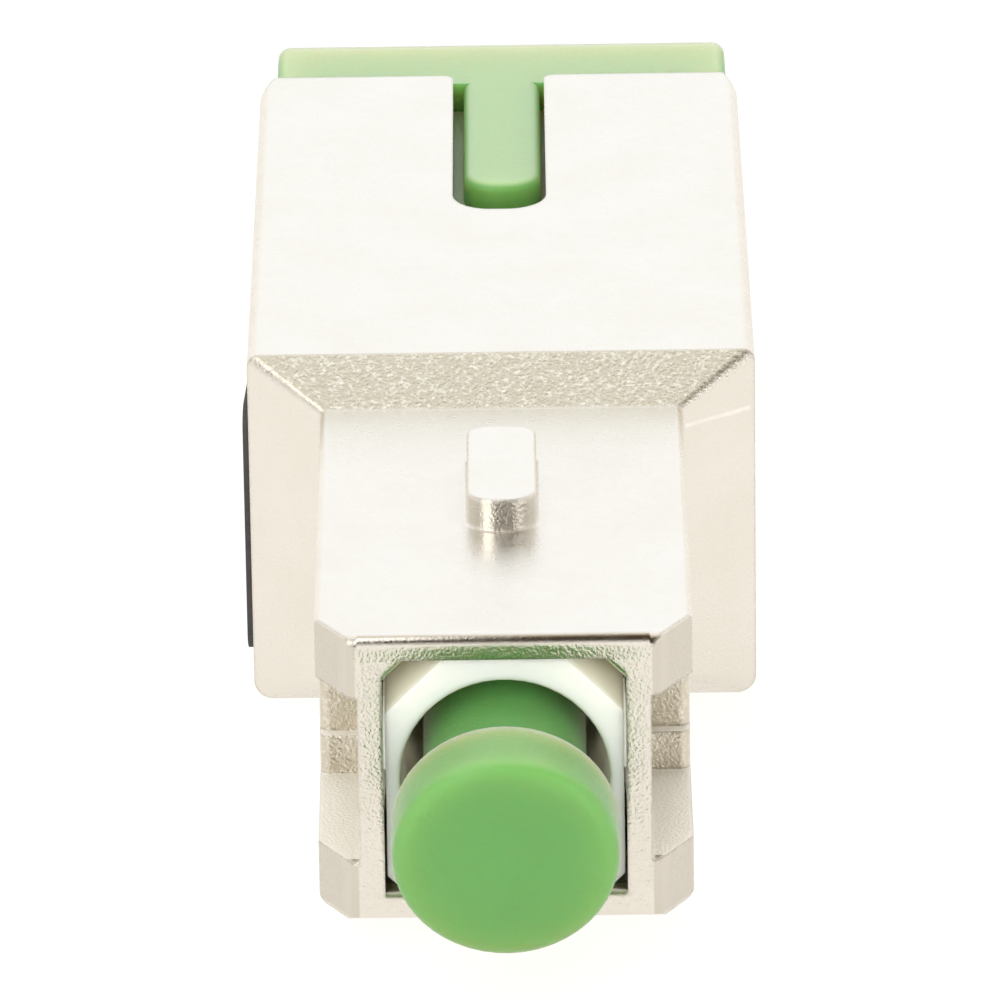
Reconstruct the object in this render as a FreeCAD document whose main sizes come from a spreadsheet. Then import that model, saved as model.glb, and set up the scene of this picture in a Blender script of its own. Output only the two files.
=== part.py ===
import FreeCAD, Part
import math
import os
import types

import Sketcher

# Fibre attenuator with an SC plug at the front (-Y) and an SC socket at the rear (+Y).
# The fibre runs along Y. The origin is on the fibre, where the straight plug meets the sloped shoulder.
# All sizes are in millimetres.

DRIVING_SIZES = {
    # plug end of the shell
    "plug_width": 9.0,
    "plug_height": 7.4,
    "plug_length": 14.1,
    "plug_edge_radius": 0.18,
    "plug_wall": 0.57,
    "plug_floor": 0.74,
    "front_radius": 0.3,
    "lead_in_width": 0.85,
    "lead_in_length": 1.35,
    "opening_corner": 0.55,
    "opening_radius": 0.14,
    # latch slots in the plug's two sides
    "slot_depth": 1.01,
    "slot_floor": 0.59,
    "slot_length": 5.2,
    "slot_end_radius": 0.25,
    "slot_clearance": 0.25,
    "strap_width": 1.0,
    "catch_height": 2.28,
    "catch_depth": 0.3,
    "ear_height": 3.8,
    "ear_length": 1.6,
    "ear_setback": 0.6,
    "ear_ramp": 0.55,
    # key on top of the plug
    "key_width": 1.7,
    "key_length": 4.7,
    "key_height": 0.83,
    "key_setback": 3.05,
    "key_nose_radius": 0.7,
    "key_tail_radius": 0.5,
    "key_edge_radius": 0.08,
    "key_foot_radius": 0.06,
    # socket end of the shell
    "housing_width": 12.7,
    "housing_height": 9.4,
    "housing_length": 19.5,
    "housing_top_radius": 0.32,
    "housing_bottom_radius": 0.5,
    "shoulder_depth": 1.3,
    "front_wall": 1.1,
    "rear_taper_width": 0.35,
    "rear_taper_length": 1.1,
    "socket_clearance": 0.05,
    "socket_corner_radius": 0.3,
    "hook_room": 0.85,
    "hook_side_room": 0.7,
    "keyway_clearance": 0.36,
    "keyway_length": 9.75,
    "keyway_end_radius": 1.0,
    "keyway_mouth_radius": 0.3,
    # push-pull slide of the inner parts in the shell
    "slide_clearance": 0.06,
    "slide_travel": 1.6,
    "stop_gap": 0.1,
    "stop_width": 2.0,
    "stop_length": 0.8,
    "stop_height": 0.4,
    "stop_setback": 4.2,
    # plug frame
    "frame_recess": 0.2,
    "frame_bevel_width": 1.4,
    "frame_bevel_depth": 0.8,
    "frame_corner": 0.3,
    "frame_wall": 0.34,
    "frame_bore_depth": 6.0,
    "seat_thickness": 1.0,
    "seat_clearance": 0.5,
    "spring_bore_wall": 0.39,
    "ridge_clearance": 0.14,
    "ridge_length": 0.8,
    "ridge_slope": 0.5,
    "ridge_sink": 0.04,
    # ferrule, fibre and collar
    "ferrule_diameter": 2.5,
    "ferrule_reach": 0.9,
    "ferrule_tip_diameter": 1.5,
    "ferrule_tip_length": 0.55,
    "angled_polish": 0.35,
    "fibre_diameter": 0.125,
    "optical_reach": 4.3,
    "collar_clearance": 0.15,
    "collar_length": 2.2,
    "collar_neck_wall": 0.4,
    "collar_neck_length": 2.2,
    "collar_notch_width": 0.8,
    "collar_notch_depth": 0.45,
    # spring and its stop
    "spring_wire": 0.45,
    "spring_turns": 4.0,
    "spring_gap": 0.02,
    "stop_ring_thickness": 1.0,
    "stop_ring_clearance": 0.15,
    "press_gap": 0.01,
    # split sleeve and its holder
    "sleeve_length": 11.4,
    "sleeve_wall": 0.34,
    "sleeve_slit": 0.5,
    "sleeve_fit": 0.01,
    "sleeve_play": 0.3,
    "sleeve_clearance": 0.1,
    "tube_wall": 0.65,
    "tube_lip_clearance": 0.125,
    "tube_lip_length": 0.4,
    "plate_clearance": 0.15,
    "plate_thickness": 1.5,
    "plate_corner_radius": 0.4,
    "arm_clearance": 0.16,
    "arm_sink": 0.1,
    "arm_width": 3.8,
    "hook_reach": 0.55,
    "hook_play": 0.1,
    "hook_land": 0.35,
    "hook_ramp": 0.75,
    # front dust cap
    "cap_clearance": 0.03,
    "cap_wall": 0.43,
    "cap_grip": 3.8,
    "cap_hang": 0.243,
    "cap_head_diameter": 5.36,
    "cap_head_thickness": 1.74,
    "cap_head_gap": 1.71,
    "cap_face_thickness": 1.3,
    "cap_edge_radius": 0.3,
    # rear dust plug
    "dust_clearance": 0.1,
    "dust_side_shift": 0.08,
    "dust_nose_gap": 0.3,
    "dust_wall": 0.9,
    "dust_floor": 1.2,
    "dust_corner_radius": 0.4,
    "flange_gap": 0.05,
    "flange_width": 12.03,
    "flange_height": 8.9,
    "flange_thickness": 2.9,
    "flange_corner_radius": 0.35,
    "tab_clearance": 0.2,
    "tab_nose_radius": 0.9,
    "tab_edge_radius": 0.25,
    # label on the left side
    "label_length": 15.5,
    "label_height": 6.7,
    "label_thickness": 0.05,
    "label_lift": 0.1,
    "label_lift_length": 2.0,
    "label_setback": 0.15,
    "label_drop": 0.2,
    "label_corner_radius": 0.6,
}
# distance from a hexagon's middle to its flats, for a hexagon one unit across its points
HEXAGON_HALF_WIDTH = math.sqrt(3) / 4


class Size:
    """A length: the words that it is worked out from, and its value."""

    def __init__(self, words, value):
        self.words = words
        self.value = value

    def __add__(self, other):
        other = as_size(other)
        return Size(f"({self.words} + {other.words})", self.value + other.value)

    def __sub__(self, other):
        other = as_size(other)
        return Size(f"({self.words} - {other.words})", self.value - other.value)

    def __mul__(self, factor):
        return Size(f"({self.words} * {factor})", self.value * factor)

    def __truediv__(self, divisor):
        return Size(f"({self.words} / {divisor})", self.value / divisor)

    def __neg__(self):
        return Size(f"(0 - {self.words})", -self.value)


def as_size(length):
    """A plain number as a Size. A Size stays as it is."""
    return length if isinstance(length, Size) else Size(str(length), length)


doc = FreeCAD.newDocument("fibre_attenuator")
sheet = doc.addObject("Spreadsheet::Sheet", "sizes")
for row, (name, number) in enumerate(DRIVING_SIZES.items(), start=1):
    sheet.set(f"A{row}", str(number))
    sheet.setAlias(f"A{row}", name)
doc.recompute()
sized = {name: Size(f"sizes.{name}", number) for name, number in DRIVING_SIZES.items()}
size = types.SimpleNamespace(**sized)


# Widths and heights, from the plug's outside inwards and from the ferrule outwards
plug_side = size.plug_width / 2
plug_top = size.plug_height / 2
nose_side = plug_side - size.slot_depth
opening_side = nose_side - size.slot_floor
opening_top = plug_top - size.plug_wall
opening_bottom = size.plug_floor - plug_top
frame_side = opening_side - size.slide_clearance
frame_top = opening_top - size.slide_clearance
frame_bottom = opening_bottom + size.slide_clearance
frame_bore_radius = frame_side - size.frame_wall
spring_bore_radius = frame_side - size.spring_bore_wall
collar_radius = spring_bore_radius - size.collar_clearance
ferrule_radius = size.ferrule_diameter / 2
collar_neck_radius = ferrule_radius + size.collar_neck_wall
sleeve_inside = ferrule_radius + size.sleeve_fit
sleeve_outside = sleeve_inside + size.sleeve_wall
tube_inside = sleeve_outside + size.sleeve_clearance
socket_width = size.plug_width + size.socket_clearance * 2
socket_height = size.plug_height + size.socket_clearance * 2
keyway_side = size.key_width / 2 + size.keyway_clearance

# Places along the fibre, shared by the pieces that meet there
front = -size.plug_length
rear = size.shoulder_depth + size.housing_length
partition = size.shoulder_depth + size.front_wall
slot_end = front + size.slot_length
frame_front = front + size.frame_recess
seat_front = frame_front + size.frame_bore_depth
seat_rear = seat_front + size.seat_thickness
plate_front = partition + size.slide_travel + size.stop_gap
window_front = front + size.strap_width
ridge_front = window_front + size.slide_travel + size.stop_gap * 2
ridge_rear = ridge_front + size.ridge_length
optical_plane = partition + size.optical_reach
ferrule_tip = front - size.ferrule_reach
sleeve_front = optical_plane - size.sleeve_length / 2
sleeve_rear = optical_plane + size.sleeve_length / 2
holder_front = sleeve_front - size.sleeve_play
lip_start = sleeve_rear + size.sleeve_play
tube_end = lip_start + size.tube_lip_length
stop_ring_front = holder_front - size.stop_ring_thickness
collar_front = seat_rear + size.stop_gap
collar_rear = collar_front + size.collar_length
hook_face = optical_plane + size.ferrule_reach + (ridge_rear - front) + size.hook_play
cap_pivot = ferrule_tip + size.cap_grip / 2
dust_nose = tube_end + size.dust_nose_gap
stop_front = -(size.stop_setback + size.stop_length)
stop_rear = -size.stop_setback


def new_body(label):
    """An empty body whose label names the piece."""
    body = doc.addObject("PartDesign::Body", label)
    body.Label = label
    return body


def new_sketch(body, name, plane, level=0):
    """A sketch on one of the body's own planes, moved to a level along X, Y or Z."""
    origin_plane = next(item for item in body.Origin.OriginFeatures if item.Role == plane)
    sketch = body.newObject("Sketcher::SketchObject", name)
    sketch.AttachmentSupport = [(origin_plane, "")]
    sketch.MapMode = "FlatFace"
    level = as_size(level)
    # the XZ plane faces -Y, the others face along their axis
    offset = -level if plane == "XZ_Plane" else level
    sketch.setExpression("AttachmentOffset.Base.z", offset.words)
    return sketch


def tie_point(sketch, item, end, across, along):
    """Ties a point of a sketch to its place, measured from the sketch's origin."""
    for kind, axis, place in (("DistanceX", -2, as_size(across)), ("DistanceY", -1, as_size(along))):
        if place.value == 0:
            sketch.addConstraint(Sketcher.Constraint("PointOnObject", item, end, axis))
        else:
            index = sketch.addConstraint(Sketcher.Constraint(kind, -1, 1, item, end, place.value))
            sketch.setExpression(f"Constraints[{index}]", place.words)


def tie_radius(sketch, item, radius):
    """Ties the radius of an arc or a circle to a size."""
    index = sketch.addConstraint(Sketcher.Constraint("Radius", item, radius.value))
    sketch.setExpression(f"Constraints[{index}]", radius.words)


def vector(across, along):
    return FreeCAD.Vector(as_size(across).value, as_size(along).value, 0)


def draw_outline(sketch, corners):
    """A closed outline of straight lines through the corners."""
    places = [vector(*corner) for corner in corners]
    following = places[1:] + places[:1]
    lines = [sketch.addGeometry(Part.LineSegment(*ends)) for ends in zip(places, following)]
    for line, after, corner in zip(lines, lines[1:] + lines[:1], corners):
        sketch.addConstraint(Sketcher.Constraint("Coincident", line, 2, after, 1))
        tie_point(sketch, line, 1, *corner)


def draw_both_sides(sketch, corners):
    """The same outline at +X and, mirrored, at -X."""
    draw_outline(sketch, corners)
    draw_outline(sketch, [(-across, along) for across, along in corners])


def draw_rounded_box(sketch, left, low, right, high, low_radius, high_radius=None):
    """An upright rectangle with one radius at its low corners and one, or none, at its high corners."""
    square = Size("0", 0)
    high_cut = high_radius or square
    starts = [
        (left + low_radius, low),
        (right, low + low_radius),
        (right - high_cut, high),
        (left, high - high_cut),
    ]
    ends = [
        (right - low_radius, low),
        (right, high - high_cut),
        (left + high_cut, high),
        (left, low + low_radius),
    ]
    radii = [low_radius, high_radius, high_radius, low_radius]
    corners = [(right, low), (right, high), (left, high), (left, low)]
    lines = [sketch.addGeometry(Part.LineSegment(vector(*a), vector(*b))) for a, b in zip(starts, ends)]
    for index, (line, radius) in enumerate(zip(lines, radii)):
        following = (index + 1) % len(lines)
        tie_point(sketch, line, 1, *starts[index])
        if radius is None:
            sketch.addConstraint(Sketcher.Constraint("Coincident", line, 2, lines[following], 1))
            continue
        tie_point(sketch, line, 2, *ends[index])
        arc_start = vector(*ends[index])
        arc_end = vector(*starts[following])
        corner = vector(*corners[index])
        centre = arc_start + arc_end - corner
        middle = centre + (corner - centre).normalize() * radius.value
        arc = sketch.addGeometry(Part.Arc(arc_start, middle, arc_end))
        sketch.addConstraint(Sketcher.Constraint("Coincident", line, 2, arc, 1))
        sketch.addConstraint(Sketcher.Constraint("Coincident", arc, 2, lines[following], 1))
        tie_radius(sketch, arc, radius)


def draw_centred_box(sketch, width, height, radius):
    """A rectangle about the sketch's origin with four equal corner radii."""
    draw_rounded_box(sketch, -(width / 2), -(height / 2), width / 2, height / 2, radius, radius)


def draw_circle(sketch, radius):
    """A circle about the sketch's origin."""
    circle = sketch.addGeometry(
        Part.Circle(FreeCAD.Vector(0, 0, 0), FreeCAD.Vector(0, 0, 1), radius.value)
    )
    sketch.addConstraint(Sketcher.Constraint("Coincident", circle, 3, -1, 1))
    tie_radius(sketch, circle, radius)


def extrude(body, kind, name, sketch, length, both_ways=False, flip=False):
    """A Pad or a Pocket of a sketch, checked to have added or removed material."""
    before = body.Shape.Volume if body.Tip else 0.0
    feature = body.newObject(f"PartDesign::{kind}", name)
    feature.Profile = sketch
    feature.SideType = "Symmetric" if both_ways else "One side"
    feature.Reversed = flip
    feature.setExpression("Length", length.words)
    doc.recompute()
    changed = feature.Shape.Volume - before
    if (changed > 0) != (kind == "Pad"):
        raise RuntimeError(f"{name} in {body.Label} changed nothing")
    return feature


def pad(body, name, sketch, length, both_ways=False, flip=False):
    return extrude(body, "Pad", name, sketch, length, both_ways, flip)


def pocket(body, name, sketch, length, both_ways=False, flip=False):
    return extrude(body, "Pocket", name, sketch, length, both_ways, flip)


def loft(body, name, first, last):
    """A straight-sided solid between two sketches."""
    feature = body.newObject("PartDesign::AdditiveLoft", name)
    feature.Profile = first
    feature.Sections = [last]
    feature.Ruled = True
    doc.recompute()
    return feature


def turn(body, name, corners):
    """A solid turned about the fibre from an outline of (radius, place along Y) corners."""
    sketch = new_sketch(body, f"{name}_outline", "XY_Plane")
    draw_outline(sketch, corners)
    feature = body.newObject("PartDesign::Revolution", name)
    feature.Profile = sketch
    feature.ReferenceAxis = (sketch, ["V_Axis"])
    doc.recompute()
    return feature


def round_edges(body, name, radius, chosen):
    """A fillet on the edges of the body's last feature for which chosen(edge) is true."""
    base = body.Tip
    numbered = enumerate(base.Shape.Edges, start=1)
    edges = [f"Edge{number}" for number, edge in numbered if chosen(edge)]
    feature = body.newObject("PartDesign::Fillet", name)
    feature.Base = (base, edges)
    feature.setExpression("Radius", radius.words)
    doc.recompute()
    return feature


def lies_at(edge, axis, place):
    """True if the whole edge lies at one place along the axis x, y or z."""
    box = edge.BoundBox
    low, high = {"x": (box.XMin, box.XMax), "y": (box.YMin, box.YMax), "z": (box.ZMin, box.ZMax)}[axis]
    return abs(low - place.value) < 1e-4 and abs(high - place.value) < 1e-4


def add_shell_outside(shell):
    """Socket block, four-sided sloped shoulder and square plug."""
    block_outline = new_sketch(shell, "block_outline", "XZ_Plane", size.shoulder_depth)
    side = size.housing_width / 2
    top = size.housing_height / 2
    draw_rounded_box(
        block_outline, -side, -top, side, top, size.housing_bottom_radius, size.housing_top_radius
    )
    pad(shell, "block", block_outline, size.housing_length, flip=True)
    taper = new_sketch(shell, "rear_taper_outline", "XY_Plane")
    draw_both_sides(
        taper,
        [(side - size.rear_taper_width, rear), (side, rear), (side, rear - size.rear_taper_length)],
    )
    pocket(shell, "rear_taper", taper, size.housing_height, both_ways=True)
    plug_outline = new_sketch(shell, "plug_outline", "XZ_Plane")
    draw_centred_box(plug_outline, size.plug_width, size.plug_height, size.plug_edge_radius)
    loft(shell, "shoulder", plug_outline, block_outline)
    pad(shell, "plug", plug_outline, size.plug_length)


def add_plug_lead_in(shell):
    """Tapers at the sides of the plug's front, and its rounded front edges."""
    taper = new_sketch(shell, "lead_in_outline", "XY_Plane")
    draw_both_sides(
        taper,
        [
            (plug_side - size.lead_in_width, front),
            (plug_side, front),
            (plug_side, front + size.lead_in_length),
        ],
    )
    pocket(shell, "lead_in", taper, size.housing_height, both_ways=True)
    round_edges(shell, "front_edges", size.front_radius, lambda edge: lies_at(edge, "y", front))


def at_side_end(edge, end):
    """True for an upright edge of the plug's two sides at a place along Y."""
    beside = lies_at(edge, "x", plug_side) or lies_at(edge, "x", -plug_side)
    return beside and lies_at(edge, "y", end)


def add_latch_slots(shell):
    """Side slots that a socket's latch hooks slide along, with the windows where they drop in."""
    slot_height = size.arm_width + size.slot_clearance * 2
    catch_end = slot_end + size.catch_depth
    for name, end, height in (("latch_slot", slot_end, slot_height), ("catch", catch_end, size.catch_height)):
        slot = new_sketch(shell, f"{name}_outline", "XY_Plane")
        draw_both_sides(slot, [(nose_side, front), (plug_side, front), (plug_side, end), (nose_side, end)])
        pocket(shell, f"{name}s", slot, height, both_ways=True)
        round_edges(shell, f"{name}_ends", size.slot_end_radius, lambda edge: at_side_end(edge, end))
    window = new_sketch(shell, "window_outline", "YZ_Plane")
    low, high = -(size.catch_height / 2), size.catch_height / 2
    draw_outline(window, [(window_front, low), (slot_end, low), (slot_end, high), (window_front, high)])
    pocket(shell, "ridge_windows", window, nose_side * 2, both_ways=True)
    ears = new_sketch(shell, "ear_outline", "XY_Plane")
    ear_rear = slot_end - size.ear_setback
    ear_front = ear_rear - size.ear_length
    draw_both_sides(
        ears,
        [
            (opening_side, ear_front + size.ear_ramp),
            (nose_side, ear_front),
            (nose_side, ear_rear),
            (opening_side, ear_rear),
        ],
    )
    pocket(shell, "ear_windows", ears, size.ear_height, both_ways=True)


def add_shell_openings(shell):
    """Rectangular way through the plug, socket with room for the hooks, keyway and stop window."""
    opening = new_sketch(shell, "opening_outline", "XZ_Plane", front)
    draw_outline(
        opening,
        [
            (-opening_side, opening_bottom),
            (opening_side, opening_bottom),
            (opening_side, opening_top - size.opening_corner),
            (opening_side - size.opening_corner, opening_top),
            (size.opening_corner - opening_side, opening_top),
            (-opening_side, opening_top - size.opening_corner),
        ],
    )
    pocket(shell, "plug_opening", opening, partition - front)

    def at_opening(edge):
        centre = edge.CenterOfMass
        inside = abs(centre.x) <= opening_side.value and abs(centre.z) <= opening_top.value
        return inside and lies_at(edge, "y", front)

    round_edges(shell, "opening_edges", size.opening_radius, at_opening)
    socket = new_sketch(shell, "socket_outline", "XZ_Plane", rear)
    draw_centred_box(socket, socket_width, socket_height, size.socket_corner_radius)
    pocket(shell, "socket", socket, rear - partition, flip=True)
    hook_room = new_sketch(shell, "hook_room_outline", "XZ_Plane", rear)
    room_width = size.plug_width + size.hook_room * 2
    room_height = size.arm_width + size.hook_side_room * 2
    draw_centred_box(hook_room, room_width, room_height, size.socket_corner_radius)
    pocket(shell, "hook_room", hook_room, rear - partition, flip=True)
    keyway = new_sketch(shell, "keyway_outline", "XY_Plane")
    keyway_end = rear - size.keyway_length
    draw_rounded_box(keyway, -keyway_side, keyway_end, keyway_side, rear, size.keyway_end_radius)
    pocket(shell, "keyway", keyway, size.housing_height, flip=True)

    def at_mouth(edge):
        beside = lies_at(edge, "x", keyway_side) or lies_at(edge, "x", -keyway_side)
        return beside and lies_at(edge, "y", rear)

    round_edges(shell, "keyway_mouth", size.keyway_mouth_radius, at_mouth)
    stop_window = new_sketch(shell, "stop_window_outline", "XY_Plane")
    half_window = size.stop_width / 2 + size.stop_gap
    window_start = stop_front - size.slide_travel - size.stop_gap
    window_end = stop_rear + size.stop_gap
    draw_outline(
        stop_window,
        [
            (-half_window, window_start),
            (half_window, window_start),
            (half_window, window_end),
            (-half_window, window_end),
        ],
    )
    pocket(shell, "stop_window", stop_window, size.plug_height)


def add_key(shell):
    """Key on the plug's top, rounder at its front, with a rounded foot."""
    key = new_sketch(shell, "key_outline", "XY_Plane", plug_top)
    half_key = size.key_width / 2
    key_rear = -size.key_setback
    draw_rounded_box(
        key,
        -half_key,
        key_rear - size.key_length,
        half_key,
        key_rear,
        size.key_nose_radius,
        size.key_tail_radius,
    )
    pad(shell, "key", key, size.key_height)
    reach = size.key_width.value

    def near_key(edge):
        centre = edge.CenterOfMass
        along = -size.key_setback.value - size.key_length.value / 2 - centre.y
        return abs(centre.x) < reach and abs(along) < size.key_length.value

    key_top = plug_top + size.key_height
    round_edges(
        shell, "key_foot", size.key_foot_radius, lambda edge: near_key(edge) and lies_at(edge, "z", plug_top)
    )
    round_edges(
        shell, "key_edge", size.key_edge_radius, lambda edge: near_key(edge) and lies_at(edge, "z", key_top)
    )


def make_housing_shell():
    """One-piece metal casting: plug, sloped shoulder and socket block."""
    shell = new_body("housing_shell")
    add_shell_outside(shell)
    add_plug_lead_in(shell)
    add_key(shell)
    add_latch_slots(shell)
    add_shell_openings(shell)
    return shell


def make_side_label():
    """Thin label on the flat left side of the socket block, its front end a little lifted."""
    label = new_body("side_label")
    outline = new_sketch(label, "label_outline", "YZ_Plane", -(size.housing_width / 2))
    start = size.shoulder_depth + size.label_setback
    draw_rounded_box(
        outline,
        start,
        -size.label_drop - size.label_height / 2,
        start + size.label_length,
        -size.label_drop + size.label_height / 2,
        size.label_corner_radius,
        size.label_corner_radius,
    )
    pad(label, "film", outline, size.label_thickness + size.label_lift, flip=True)
    outside = new_sketch(label, "flat_part", "XY_Plane")
    lifted = -(size.housing_width / 2) - size.label_thickness - size.label_lift
    end = start + size.label_length
    draw_outline(
        outside,
        [
            (lifted, start),
            (lifted + size.label_lift, start + size.label_lift_length),
            (lifted + size.label_lift, end),
            (lifted, end),
        ],
    )
    pocket(label, "flat_film", outside, size.housing_height, both_ways=True)
    return label


def frame_section(top_cut):
    """Corners of the plug frame's section, with its two top corners cut off by one length."""
    low_cut = size.frame_corner
    return [
        (low_cut - frame_side, frame_bottom),
        (frame_side - low_cut, frame_bottom),
        (frame_side, frame_bottom + low_cut),
        (frame_side, frame_top - top_cut),
        (frame_side - top_cut, frame_top),
        (top_cut - frame_side, frame_top),
        (-frame_side, frame_top - top_cut),
        (-frame_side, frame_bottom + low_cut),
    ]


def make_plug_frame():
    """Moulded frame in the plug: front bore, ferrule seat, spring bore, latch ridges and a stop barb."""
    frame = new_body("plug_frame")
    bevel_end = frame_front + size.frame_bevel_depth
    section = new_sketch(frame, "section", "XZ_Plane", bevel_end)
    draw_outline(section, frame_section(size.opening_corner))
    pad(frame, "bar", section, plate_front - bevel_end, flip=True)
    nose = new_sketch(frame, "nose", "XZ_Plane", frame_front)
    draw_outline(nose, frame_section(size.frame_bevel_width))
    loft(frame, "bevelled_front", nose, section)
    ridges = new_sketch(frame, "ridge_outline", "XY_Plane")
    ridge_side = nose_side - size.ridge_sink
    draw_both_sides(
        ridges,
        [
            (frame_side, ridge_front),
            (ridge_side, ridge_front + size.ridge_slope),
            (ridge_side, ridge_rear),
            (frame_side, ridge_rear),
        ],
    )
    pad(frame, "latch_ridges", ridges, size.catch_height - size.ridge_clearance * 2, both_ways=True)
    barb = new_sketch(frame, "barb_outline", "YZ_Plane")
    draw_outline(
        barb,
        [
            (stop_front, frame_bottom),
            (stop_rear, frame_bottom - size.stop_height),
            (stop_rear, frame_bottom),
        ],
    )
    pad(frame, "stop_barb", barb, size.stop_width, both_ways=True)
    front_bore = new_sketch(frame, "front_bore_outline", "XZ_Plane", frame_front)
    draw_circle(front_bore, frame_bore_radius)
    pocket(frame, "front_bore", front_bore, size.frame_bore_depth)
    spring_bore = new_sketch(frame, "spring_bore_outline", "XZ_Plane", plate_front)
    draw_circle(spring_bore, spring_bore_radius)
    pocket(frame, "spring_bore", spring_bore, plate_front - seat_rear, flip=True)
    seat_hole = new_sketch(frame, "seat_hole_outline", "XZ_Plane", seat_front)
    draw_circle(seat_hole, ferrule_radius + size.seat_clearance)
    pocket(frame, "seat_hole", seat_hole, size.seat_thickness)
    return frame


def make_ferrule():
    """Ceramic rod with a fibre hole, a coned tip and an angled polish at both ends."""
    ferrule = new_body("ferrule")
    tip_radius = size.ferrule_tip_diameter / 2
    hole = size.fibre_diameter / 2
    turn(
        ferrule,
        "rod",
        [
            (hole, ferrule_tip),
            (tip_radius, ferrule_tip),
            (ferrule_radius, ferrule_tip + size.ferrule_tip_length),
            (ferrule_radius, optical_plane - size.ferrule_tip_length),
            (tip_radius, optical_plane),
            (hole, optical_plane),
        ],
    )
    polish = new_sketch(ferrule, "polish_outline", "YZ_Plane")
    draw_outline(
        polish,
        [
            (ferrule_tip, -ferrule_radius),
            (ferrule_tip + size.angled_polish, ferrule_radius),
            (ferrule_tip, ferrule_radius),
        ],
    )
    draw_outline(
        polish,
        [
            (optical_plane, ferrule_radius),
            (optical_plane - size.angled_polish, -ferrule_radius),
            (optical_plane, -ferrule_radius),
        ],
    )
    pocket(ferrule, "angled_ends", polish, size.ferrule_diameter, both_ways=True)
    return ferrule


def make_attenuating_fibre():
    """Doped glass fibre in the ferrule, from one polished end to the other."""
    fibre = doc.addObject("Part::Cylinder", "attenuating_fibre")
    fibre.Label = "attenuating_fibre"
    start = ferrule_tip + size.angled_polish / 2
    end = optical_plane - size.angled_polish / 2
    fibre.setExpression("Radius", (size.fibre_diameter / 2).words)
    fibre.setExpression("Height", (end - start).words)
    upright_to_y = FreeCAD.Rotation(FreeCAD.Vector(1, 0, 0), -90)
    fibre.Placement = FreeCAD.Placement(FreeCAD.Vector(0, start.value, 0), upright_to_y)
    fibre.setExpression("Placement.Base.y", start.words)
    return fibre


def make_ferrule_collar():
    """Metal collar on the ferrule, with a neck for the spring and four key notches."""
    collar = new_body("ferrule_collar")
    neck_end = collar_rear + size.collar_neck_length
    turn(
        collar,
        "flange_and_neck",
        [
            (ferrule_radius, collar_front),
            (collar_radius, collar_front),
            (collar_radius, collar_rear),
            (collar_neck_radius, collar_rear),
            (collar_neck_radius, neck_end),
            (ferrule_radius, neck_end),
        ],
    )
    notch = new_sketch(collar, "notch_outline", "XZ_Plane", collar_front)
    half_notch = size.collar_notch_width / 2
    draw_outline(
        notch,
        [
            (collar_radius - size.collar_notch_depth, -half_notch),
            (collar_radius + size.collar_notch_depth, -half_notch),
            (collar_radius + size.collar_notch_depth, half_notch),
            (collar_radius - size.collar_notch_depth, half_notch),
        ],
    )
    first_notch = pocket(collar, "notch", notch, size.collar_length)
    pattern = collar.newObject("PartDesign::PolarPattern", "four_notches")
    pattern.Originals = [first_notch]
    pattern.Axis = (next(item for item in collar.Origin.OriginFeatures if item.Role == "Y_Axis"), [""])
    pattern.Angle = 360
    pattern.Occurrences = 4
    collar.Tip = pattern
    doc.recompute()
    return collar


def make_ferrule_spring():
    """Wire spring between the collar and the stop ring. The round wire is drawn with six flats."""
    spring = new_body("ferrule_spring")
    flat_half = size.spring_wire / 4
    point_half = size.spring_wire / 2
    side_half = size.spring_wire * HEXAGON_HALF_WIDTH
    middle = (collar_neck_radius + spring_bore_radius) / 2
    first_turn = collar_rear + size.spring_gap + point_half
    last_turn = stop_ring_front - size.spring_gap - point_half
    wire = new_sketch(spring, "wire_outline", "XY_Plane")
    draw_outline(
        wire,
        [
            (middle, first_turn - point_half),
            (middle + side_half, first_turn - flat_half),
            (middle + side_half, first_turn + flat_half),
            (middle, first_turn + point_half),
            (middle - side_half, first_turn + flat_half),
            (middle - side_half, first_turn - flat_half),
        ],
    )
    coil = spring.newObject("PartDesign::AdditiveHelix", "coil")
    coil.Profile = wire
    coil.ReferenceAxis = (wire, ["V_Axis"])
    coil.Mode = "height-turns-angle"
    coil.setExpression("Height", (last_turn - first_turn).words)
    coil.setExpression("Turns", size.spring_turns.words)
    doc.recompute()
    return spring


def make_stop_ring():
    """Ring in the frame's spring bore that the spring pushes against."""
    ring = new_body("stop_ring")
    rim = spring_bore_radius - size.press_gap
    hole = ferrule_radius + size.stop_ring_clearance
    turn(
        ring,
        "washer",
        [(hole, stop_ring_front), (rim, stop_ring_front), (rim, holder_front), (hole, holder_front)],
    )
    return ring


def make_split_sleeve():
    """Ceramic sleeve with a lengthwise slit that grips both ferrules."""
    sleeve = new_body("split_sleeve")
    turn(
        sleeve,
        "tube",
        [
            (sleeve_inside, sleeve_front),
            (sleeve_outside, sleeve_front),
            (sleeve_outside, sleeve_rear),
            (sleeve_inside, sleeve_rear),
        ],
    )
    slit = new_sketch(sleeve, "slit_outline", "XY_Plane")
    half_slit = size.sleeve_slit / 2
    draw_outline(
        slit,
        [
            (-half_slit, sleeve_front),
            (half_slit, sleeve_front),
            (half_slit, sleeve_rear),
            (-half_slit, sleeve_rear),
        ],
    )
    pocket(sleeve, "slit", slit, sleeve_outside * 2, flip=True)
    return sleeve


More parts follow.
